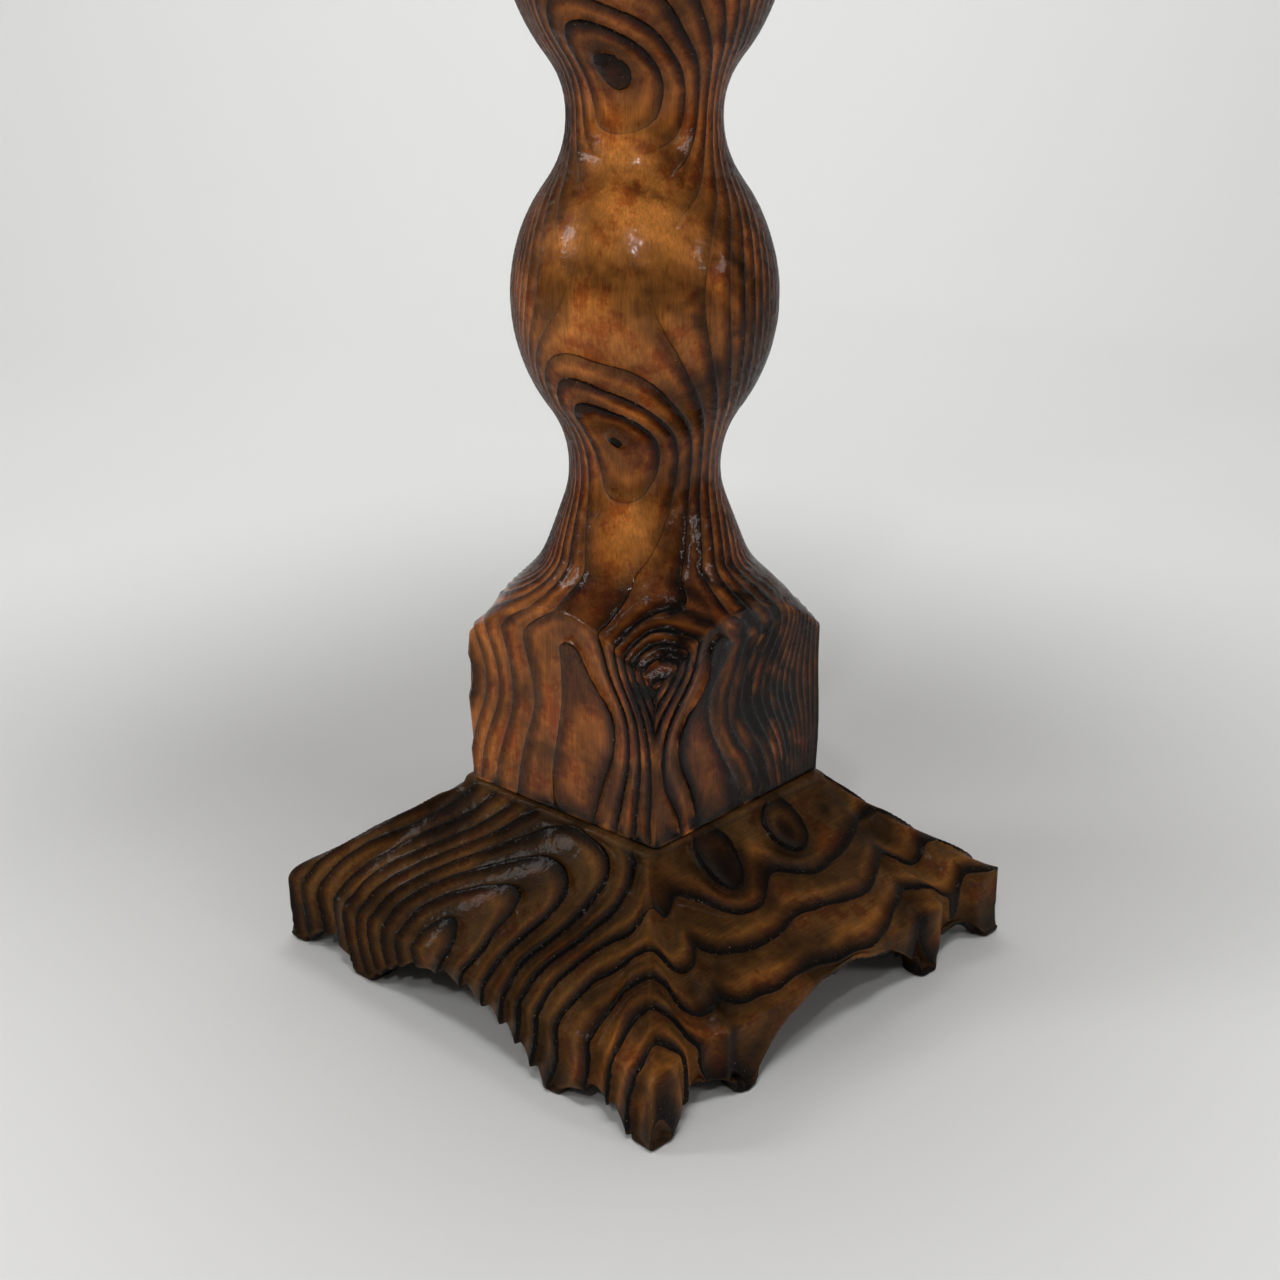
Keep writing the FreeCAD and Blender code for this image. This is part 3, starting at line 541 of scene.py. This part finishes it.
    # The polished layer follows the ripples and not the fibres
    polish = add_node(tree, "ShaderNodeBump", [("Height", ripple)], Strength=0.5, Distance=0.0009)
    tree.links.new(polish.outputs[0], shader.inputs["Coat Normal"])
    shader.inputs["Coat Weight"].default_value = wax
    shader.inputs["Coat Roughness"].default_value = 0.1
    gloss = add_node(tree, "ShaderNodeMapRange", [("Value", cloud)])
    gloss.inputs["From Min"].default_value = 0.3
    gloss.inputs["From Max"].default_value = 0.7
    gloss.inputs["To Min"].default_value = glossy[0]
    gloss.inputs["To Max"].default_value = glossy[1]
    tree.links.new(gloss.outputs[0], shader.inputs["Roughness"])
    shader.inputs["Specular IOR Level"].default_value = 0.06
    return made


foot = wood_copy("foot_plate", "foot_plate_brushed", grid=0.95, rounding=80)
brush(foot, foot_rings, depth=3.0, carve=foot_carve, bare=foot_bare, char_and_shade=foot_char_and_shade,
      budget=190000)
foot.data.materials.append(cedar("cedar_foot", grain=(1.0, 0.06, 1.0),
                                 tones=("#0B0603", "#1A1006", "#3F260F", "#65421C", "#4C3317"),
                                 worn="#A87844", pitting=0.5, glossy=(0.55, 0.36), wax=0.06))
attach(foot, "base")
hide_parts("foot_plate")


# ---- Post -----------------------------------------------------------------------------
# The post is one length of boxed-heart cedar, left square at both ends and turned between
# them, then scorched, brushed and waxed like the foot. Its heart lies towards the front.

WAISTS = (236.5, 385.0, 533.5)      # heights of the three waists
WHORL = 148.5                       # branches left this tree every 148.5 mm
POST_FOOT = (165.0, 200.0)          # where the post passes from square to turned
POST_HEAD = (590.0, 625.0)          # and back to square
POST_TOP = round(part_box("tilt_block")[0][2] * 1000, 3)  # where the head's tenon starts


def swelling(points, place, wide, high, lean=0.0):
    """1 at a knot on the post's side, falling to 0 about wide and high millimetres off."""
    place = np.array(place, dtype=float)
    outward = np.array([place[0], place[1], 0]) / math.hypot(place[0], place[1])
    sideways = np.array([-outward[1], outward[0], 0.0])
    offset = points - place
    across = offset @ sideways
    up = offset[:, 2]
    turn = math.radians(lean)
    along = across * math.cos(turn) + up * math.sin(turn)
    over = up * math.cos(turn) - across * math.sin(turn)
    inward = offset @ outward
    return np.exp(-(along / wide) ** 2 - (over / high) ** 2 - (inward / max(wide, high)) ** 2)


def round_post(azimuth, radius, height):
    """A place on the post: azimuth 0 faces the front, 90 the right."""
    turn = math.radians(azimuth)
    return radius * math.sin(turn), -radius * math.cos(turn), height


def turned_part(points):
    """1 where the post is turned, 0 where it is square."""
    return eased(*POST_FOOT, points[:, 2]) * (1 - eased(*POST_HEAD, points[:, 2]))


def post_rings(points):
    x, y, z = points[:, 0], points[:, 1], points[:, 2]
    radius = np.hypot(x, y)
    facing = np.arctan2(x, -y)
    turned = turned_part(points)
    # In the square foot of the post the rings lean towards the front corner at half height
    lean = np.exp(-((z - 138) / 29) ** 2) * (1 - turned)
    to_right = eased(10, 50, x)
    right = eased(15, 59, x)
    x = x - 13 * lean * (1 - eased(28, 58, x)) * eased(-85, -45, x)
    y = y + (22 * lean - 17 * (1 - turned)) * to_right * (1 - eased(24, 56, y)) * eased(-66, -40, y)
    # In the turned part they follow its swells halfway
    scale = (74 / np.maximum(radius, 20)) ** (0.55 * turned)
    off_x = x * scale - 10
    off_x = np.where(off_x < 0, off_x * (0.8 + 0.6 * turned), off_x)
    growth = ((0, 17), (17, 17), (18, 12), (34, 10.5), (48, 8.5), (62, 5.5), (75, 3.6), (90, 2.8))
    count = years(np.hypot(off_x, y * scale + 21), growth)
    count = count * (1 + turned * (0.55 - 0.4 * np.cos(facing - 0.35))) + 0.57 * turned
    count += 3.6 * eased(-48, 48, y) * right * (1 - 0.75 * turned)
    count += 0.16 * drift(points * (1, 1, 0.35), 90, 3, 3)
    count += 0.4 * drift(points, 55, 29, 2) * eased(*POST_HEAD, z)
    # Knots: at the front corner, low on the left face, and one above each waist
    count += 3.0 * swelling(points, (57, -57, 168), 25, 20)
    count += 1.2 * swelling(points, (59, -59, 150), 10, 26)
    count -= 0.45 * swelling(points, (14, -59, 122), 20, 40)
    whorl = (z - WAISTS[0]) / WHORL
    whorl = whorl - np.floor(whorl)
    climb = eased(0.10, 0.62, whorl) * (1 - eased(0.84, 1.0, whorl))
    climb = climb * eased(236, 262, z) * (1 - eased(600, 630, z))
    count += 1.3 * climb * np.exp(-((facing - 0.45) / 0.95) ** 2)
    for waist in WAISTS:
        count -= 1.6 * swelling(points, round_post(6, 40, waist + 34), 17, 42, 46)
    return count


def post_carve(points):
    """Knots stand out above the waists, and the front corner is hollowed."""
    shift = -3.5 * swelling(points, (59, -59, 156), 9, 15)
    for waist in WAISTS:
        shift += 3.0 * swelling(points, round_post(6, 40, waist + 32), 12, 30, 46)
        shift -= 1.2 * swelling(points, round_post(30, 45, waist + 130), 26, 14)
    shift -= 0.35 * (1 + drift(points * (1, 1, 0.6), 45, 8, 2)) * (1 - 0.6 * turned_part(points))
    shift *= eased(SEAT + 0.5, SEAT + 6, points[:, 2])
    return shift * (1 - eased(POST_TOP - 7, POST_TOP - 2, points[:, 2]))


def post_bare(points):
    """The end that stands on the foot and the two tenons stay whole; the swells' fronts are worn."""
    z = points[:, 2]
    ends = np.maximum(1 - eased(SEAT + 0.2, SEAT + 2, z), eased(POST_TOP - 1, POST_TOP, z))
    worn = 0.14 * eased(50, 58, -points[:, 1]) * (1 - eased(10, 50, points[:, 0]))
    for waist in WAISTS:
        worn = worn + 1.4 * swelling(points, round_post(30, 54, waist + 98), 34, 34)
        worn = worn + 0.95 * swelling(points, round_post(32, 36, waist - 22), 16, 20)
    return np.maximum(ends, np.clip(worn, 0, 0.94))


def post_char_and_shade(points):
    """Darkened: a band of painted shadow round the foot of the post where it stands on the foot, the right
    side partly for its charring and partly as painted shade away from the main light, and burnt on its
    shoulder and in the knots.
    """
    darkened = 1.3 * swelling(points, (59, 10, 142), 19, 40, 18)
    # Painted shadow: a dark band round the post just above where it stands on the foot
    darkened += 1.4 * (1 - eased(SEAT + 1, SEAT + 7, points[:, 2]))
    # The right side is darker, partly for its charring and partly as painted shade on the side away from the
    # main light
    darkened += 0.58 * eased(25, 57, points[:, 0])
    darkened += 0.3 * eased(160, 172, points[:, 2]) * (1 - eased(186, 212, points[:, 2]))
    darkened += 0.75 * swelling(points, (57, -57, 160), 14, 16)
    for waist in WAISTS:
        darkened = darkened + 0.6 * swelling(points, round_post(8, 40, waist + 36), 10, 30, 46)
        darkened = darkened + 0.75 * swelling(points, round_post(43, 42, waist + 122), 12, 5, -18)
        darkened = darkened + 0.7 * swelling(points, round_post(42, 57, waist + 84), 3, 4)
    return np.clip(darkened * (0.8 + 0.45 * drift(points, 14, 5, 3)), 0, 1)


post = wood_copy("pillar", "pillar_brushed", grid=0.95, rounding=24)
brush(post, post_rings, depth=1.5, carve=post_carve, bare=post_bare, char_and_shade=post_char_and_shade,
      budget=190000)
post.data.materials.append(cedar("cedar_post", grain=(1.0, 1.0, 0.06),
                                 tones=("#110703", "#281208", "#6A3618", "#B4692E", "#8F5428"),
                                 worn="#DA8A40", pitting=0.5, glossy=(0.36, 0.16), wax=0.19))
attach(post, "base")
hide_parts("pillar")


# ---- Tilt block -----------------------------------------------------------------------
# The square block on the post's head, which the hinge pins and the catch plate meet. It is
# cedar as well, cut with its grain from side to side and wedged onto the post's tenon.

BLOCK_TOP = round(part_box("tilt_block")[1][2] * 1000, 3)
PLANED_FROM = 0.6                   # this far in from a planed face the wood is still clean,
PLANED_TO = 1.4                     # and from here on it is brushed
BLOCK_TONES = ("#170C06", "#361E12", "#65401F", "#8C5830", "#7A5233")
BLOCK_WORN = "#A06C38"


def block_rings(points):
    count = years(np.hypot(points[:, 1] - 18, points[:, 2] - 604), ((0, 9), (60, 8), (120, 6)))
    return count + 0.2 * drift(points * (0.3, 1, 1), 60, 31, 3)


def block_bare(points):
    """Its top and underside are planed flat."""
    z = points[:, 2]
    top = eased(BLOCK_TOP - PLANED_TO, BLOCK_TOP - PLANED_FROM, z)
    return 0.8 * np.maximum(top, 1 - eased(POST_TOP + PLANED_FROM, POST_TOP + PLANED_TO, z))


def no_carve(points):
    return np.zeros(len(points))


def light_char(points):
    return 0.12 * np.clip(drift(points, 70, 17, 3), 0, 1)


block = wood_copy("tilt_block", "tilt_block_brushed", grid=1.1, rounding=6)
brush(block, block_rings, depth=0.8, carve=no_carve, bare=block_bare, char_and_shade=light_char,
      budget=110000)
block.data.materials.append(cedar("cedar_block", grain=(0.06, 1.0, 1.0), tones=BLOCK_TONES,
                                  worn=BLOCK_WORN, pitting=0.45, glossy=(0.45, 0.25), wax=0.12,
                                  planed=1.0))
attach(block, "base")
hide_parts("tilt_block")


# ---- Bearers --------------------------------------------------------------------------
# Two cedar bars screwed up into the top's underside, either side of the tilt block. They
# carry the hinge pins, and are brushed on their three open sides.

BOARD_UNDER = round(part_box("top_board_front")[0][2] * 1000, 3)


def bearer_rings(points):
    off = np.abs(points[:, 0]) - 70
    count = years(np.hypot(off, points[:, 2] - 600), ((0, 8), (60, 7), (120, 5)))
    return count + 0.25 * drift(points * (1, 0.25, 1), 55, 41, 3)


def bearer_bare(points):
    """The face against the boards is planed flat."""
    return 0.85 * eased(BOARD_UNDER - 1.3, BOARD_UNDER - 0.5, points[:, 2])


for side in ("left", "right"):
    bearer = wood_copy("bearer_" + side, "bearer_" + side + "_brushed", grid=1.1, rounding=5)
    brush(bearer, bearer_rings, depth=0.7, carve=no_carve, bare=bearer_bare, char_and_shade=light_char,
          budget=110000)
    bearer.data.materials.append(cedar("cedar_bearer_" + side, grain=(1.0, 0.06, 1.0),
                                       tones=BLOCK_TONES, worn=BLOCK_WORN, pitting=0.45,
                                       glossy=(0.45, 0.25), wax=0.12, planed=1.0))
    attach(bearer, "top")
    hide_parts("bearer_" + side)


# ---- Top ------------------------------------------------------------------------------
# Three cedar boards, doweled and glued edge to edge, scorched and brushed on top and round
# the edge, and planed underneath. Each board was sawn off its own side of the log.

BOARD_HEARTS = {"front": (-128.0, 612.0), "middle": (14.0, 585.0), "rear": (166.0, 604.0)}  # y, z
DRESSED = (690.0, 700.0)            # heights between which the dressing of the top sets in


def board_bare(points):
    """The underside is planed flat."""
    return 0.8 * (1 - eased(BOARD_UNDER + 0.9, BOARD_UNDER + 2.1, points[:, 2]))


def board_carve(points):
    """The top is dressed by hand, so it lies a little uneven."""
    return -0.35 * (1 + np.clip(drift(points, 120, 53, 2), -1, 1)) * eased(*DRESSED, points[:, 2])


def board_rings(points, heart_y, heart_z, seed):
    away = np.hypot(points[:, 1] - heart_y - 9 * np.sin(points[:, 0] / 75 + seed), points[:, 2] - heart_z)
    count = years(away, ((0, 12), (90, 9), (150, 6)))
    count += 0.45 * drift(points * (0.35, 1, 1), 110, seed, 3)
    dice = np.random.default_rng(seed)
    for knot in range(2):
        knot_x = dice.uniform(-170, 170)
        knot_y = heart_y + dice.uniform(-40, 40)
        away = np.hypot((points[:, 0] - knot_x) / 1.9, points[:, 1] - knot_y)
        count -= 2.4 * np.exp(-(away / 15) ** 2)
    return count


for seed, (place, (heart_y, heart_z)) in enumerate(BOARD_HEARTS.items(), start=61):
    board = wood_copy("top_board_" + place, "top_board_" + place + "_brushed", grid=1.35, rounding=5)
    brush(board, lambda points: board_rings(points, heart_y, heart_z, seed), depth=0.9,
          carve=board_carve, bare=board_bare, char_and_shade=light_char, budget=180000)
    board.data.materials.append(cedar("cedar_board_" + place, grain=(0.06, 1.0, 1.0),
                                      tones=("#180C06", "#3A2012", "#6A4023", "#93602F", "#7F5635"),
                                      worn="#9C6A3A", pitting=0.45, glossy=(0.42, 0.22), wax=0.14,
                                      planed=1.0))
    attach(board, "top")
    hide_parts("top_board_" + place)


# ---- Wedges and dowels ----------------------------------------------------------------
# The wedges that spread the post's tenons and the dowels between the boards are oak, split
# and planed, and left without stain.


def dress(names, made):
    """Gives CAD nodes a finished material in place of the plain one in their slots."""
    for name in names:
        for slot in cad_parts[name].material_slots:
            slot.material = made


oak, tree, shader = new_material("plain_oak")
place = add_node(tree, "ShaderNodeTexCoord").outputs["Object"]
# Pores, 0.3 mm across and drawn out along the split grain
pulled = add_node(tree, "ShaderNodeMapping", [("Vector", place)], Scale=(1.0, 1.0, 0.12))
pore = add_node(tree, "ShaderNodeTexNoise", [("Vector", pulled.outputs[0])],
                Scale=1600.0, Detail=3.0, Roughness=0.6).outputs["Fac"]
rays = add_node(tree, "ShaderNodeTexNoise", [("Vector", place)],
                Scale=140.0, Detail=5.0, Roughness=0.6).outputs["Fac"]
mixed = add_node(tree, "ShaderNodeMath", [(0, pore), (1, rays)], operation="MULTIPLY_ADD")
mixed.inputs[2].default_value = 0.25
grain = add_node(tree, "ShaderNodeValToRGB", [("Fac", mixed.outputs[0])])
grain.color_ramp.elements[0].position = 0.38
grain.color_ramp.elements[0].color = colour("#6E4F30")
grain.color_ramp.elements[1].position = 0.62
grain.color_ramp.elements[1].color = colour("#B58C5C")
tree.links.new(grain.outputs["Color"], shader.inputs["Base Color"])
dent = add_node(tree, "ShaderNodeBump", [("Height", pore)], Strength=0.3, Distance=0.0002)
tree.links.new(dent.outputs[0], shader.inputs["Normal"])
shader.inputs["Roughness"].default_value = 0.55
dress(("tenon_wedges", "board_dowels"), oak)


# ---- Brass fittings -------------------------------------------------------------------
# The hinge pins and their washers, the keeper and the catch are brass, turned or sawn from
# bar, and dulled brown by handling, with brighter metal where they rub.


def metal(name, bright, dull, grime, rough, scratch):
    """Handled metal: tarnish in patches 8 mm across, and fine scratches."""
    made, tree, shader = new_material(name)
    place = add_node(tree, "ShaderNodeTexCoord").outputs["Object"]
    patch = add_node(tree, "ShaderNodeTexNoise", [("Vector", place)],
                     Scale=120.0, Detail=6.0, Roughness=0.65).outputs["Fac"]
    turned = add_node(tree, "ShaderNodeMapping", [("Vector", place)], Scale=(1.0, 1.0, 0.08))
    scratches = add_node(tree, "ShaderNodeTexNoise", [("Vector", turned.outputs[0])],
                         Scale=2400.0, Detail=3.0, Roughness=0.7).outputs["Fac"]
    tarnish = add_node(tree, "ShaderNodeValToRGB", [("Fac", patch)])
    tarnish.color_ramp.elements[0].position = 0.34
    tarnish.color_ramp.elements[0].color = colour(grime)
    tarnish.color_ramp.elements[1].position = 0.68
    tarnish.color_ramp.elements[1].color = colour(bright)
    middle = tarnish.color_ramp.elements.new(0.5)
    middle.color = colour(dull)
    tree.links.new(tarnish.outputs["Color"], shader.inputs["Base Color"])
    shader.inputs["Metallic"].default_value = 1.0
    polish = add_node(tree, "ShaderNodeMapRange", [("Value", patch)])
    polish.inputs["From Min"].default_value = 0.3
    polish.inputs["From Max"].default_value = 0.7
    polish.inputs["To Min"].default_value = rough + 0.18
    polish.inputs["To Max"].default_value = rough
    tree.links.new(polish.outputs[0], shader.inputs["Roughness"])
    crease_shadowed = add_node(tree, "ShaderNodeBump", [("Height", scratches)], Strength=scratch, Distance=0.0001)
    tree.links.new(crease_shadowed.outputs[0], shader.inputs["Normal"])
    return made


dress(("keeper_plate", "keeper_screws", "pivot_pin_left", "pivot_pin_right", "pivot_washers",
       "catch_plate", "catch_guides", "catch_screws", "catch_bolt", "catch_knob"),
      metal("aged_brass_bar", "#C39A55", "#97723A", "#4E3A22", 0.26, 0.35))


# ---- Steel fittings -------------------------------------------------------------------
# The bolt and washer under the foot and the screws through the bearers are steel, plated
# with zinc that has gone grey.

dress(("foot_bolt", "foot_washer", "bearer_screws"),
      metal("zinc_plated_steel", "#B9BBBD", "#8F9294", "#5E5E5C", 0.34, 0.25))
